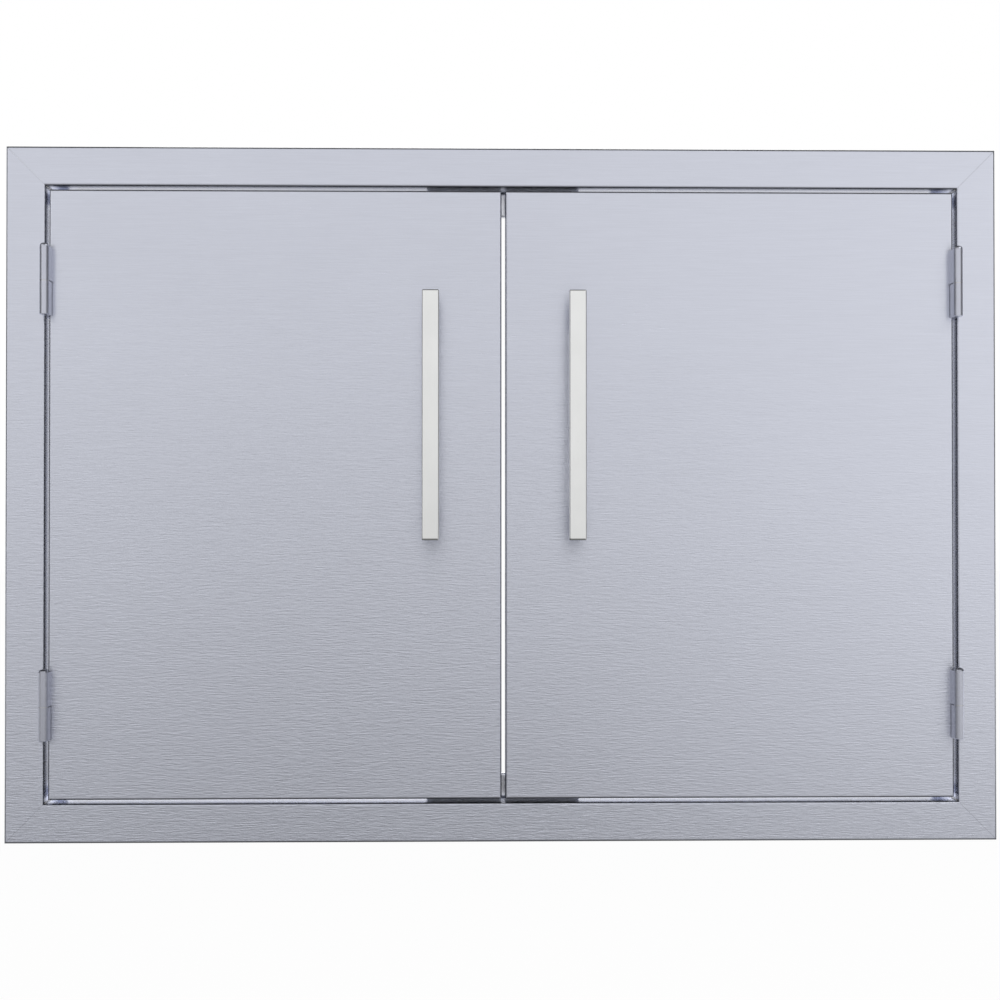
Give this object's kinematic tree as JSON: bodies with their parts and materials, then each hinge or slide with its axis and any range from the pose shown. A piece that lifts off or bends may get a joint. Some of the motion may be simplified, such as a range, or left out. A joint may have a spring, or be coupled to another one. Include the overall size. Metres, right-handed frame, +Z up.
{
  "type": "outdoor kitchen double access door",
  "caption": "Stainless face frame for a cut-out in an outdoor kitchen island, closed by paired hinged doors with bar handles and magnetic catches.",
  "frame": {"origin": "centre of the cut-out in the island, on the surface that the frame's outer lip rests on", "axes": "+X to the right and +Z up as seen from the front, +Y into the island; the doors face -Y"},
  "size_m": [0.762, 0.087, 0.5334],
  "materials": {
    "frame_steel": "brushed stainless sheet",
    "door_steel": "brushed stainless sheet, grain across",
    "hinge_steel": "satin stainless",
    "handle_steel": "fine satin stainless",
    "fastener_steel": "plain stainless",
    "zinc_plated_steel": "plated magnetic steel",
    "catch_plastic": "black moulded plastic",
    "magnet": "sintered ferrite",
    "bumper_rubber": "soft rubber"
  },
  "bodies": {
    "frame": {"frame_top_rail": "frame_steel", "frame_bottom_rail": "frame_steel", "frame_left_stile": "frame_steel", "frame_right_stile": "frame_steel", "top_catch_bracket": "frame_steel", "bottom_catch_bracket": "frame_steel", "door_bumpers": "bumper_rubber", "left_lower_hinge_frame_leaf": "hinge_steel", "left_lower_hinge_pin": "hinge_steel", "left_lower_hinge_washer": "hinge_steel", "left_lower_catch_housing": "catch_plastic", "left_lower_catch_magnet": "magnet", "left_upper_hinge_frame_leaf": "hinge_steel", "left_upper_hinge_pin": "hinge_steel", "left_upper_hinge_washer": "hinge_steel", "left_upper_catch_housing": "catch_plastic", "left_upper_catch_magnet": "magnet", "right_lower_hinge_frame_leaf": "hinge_steel", "right_lower_hinge_pin": "hinge_steel", "right_lower_hinge_washer": "hinge_steel", "right_lower_catch_housing": "catch_plastic", "right_lower_catch_magnet": "magnet", "right_upper_hinge_frame_leaf": "hinge_steel", "right_upper_hinge_pin": "hinge_steel", "right_upper_hinge_washer": "hinge_steel", "right_upper_catch_housing": "catch_plastic", "right_upper_catch_magnet": "magnet"},
    "left_door": {"left_door_skin": "door_steel", "left_door_liner": "door_steel", "left_lower_hinge_door_leaf": "hinge_steel", "left_upper_hinge_door_leaf": "hinge_steel", "left_lower_strike_plate": "zinc_plated_steel", "left_upper_strike_plate": "zinc_plated_steel", "left_handle_bar": "handle_steel", "left_handle_web": "handle_steel", "left_handle_washers": "fastener_steel", "left_handle_screws": "fastener_steel"},
    "right_door": {"right_door_skin": "door_steel", "right_door_liner": "door_steel", "right_lower_hinge_door_leaf": "hinge_steel", "right_upper_hinge_door_leaf": "hinge_steel", "right_lower_strike_plate": "zinc_plated_steel", "right_upper_strike_plate": "zinc_plated_steel", "right_handle_bar": "handle_steel", "right_handle_web": "handle_steel", "right_handle_washers": "fastener_steel", "right_handle_screws": "fastener_steel"}
  },
  "joints": [
    {"name": "left_door_hinge", "type": "hinge", "parent": "frame", "child": "left_door", "pos_m": [-0.3492, -0.0185, 0], "axis": [0, 0, -1], "range_deg": [0, 170]},
    {"name": "right_door_hinge", "type": "hinge", "parent": "frame", "child": "right_door", "pos_m": [0.3492, -0.0185, 0], "axis": [0, 0, 1], "range_deg": [0, 170]}
  ]
}
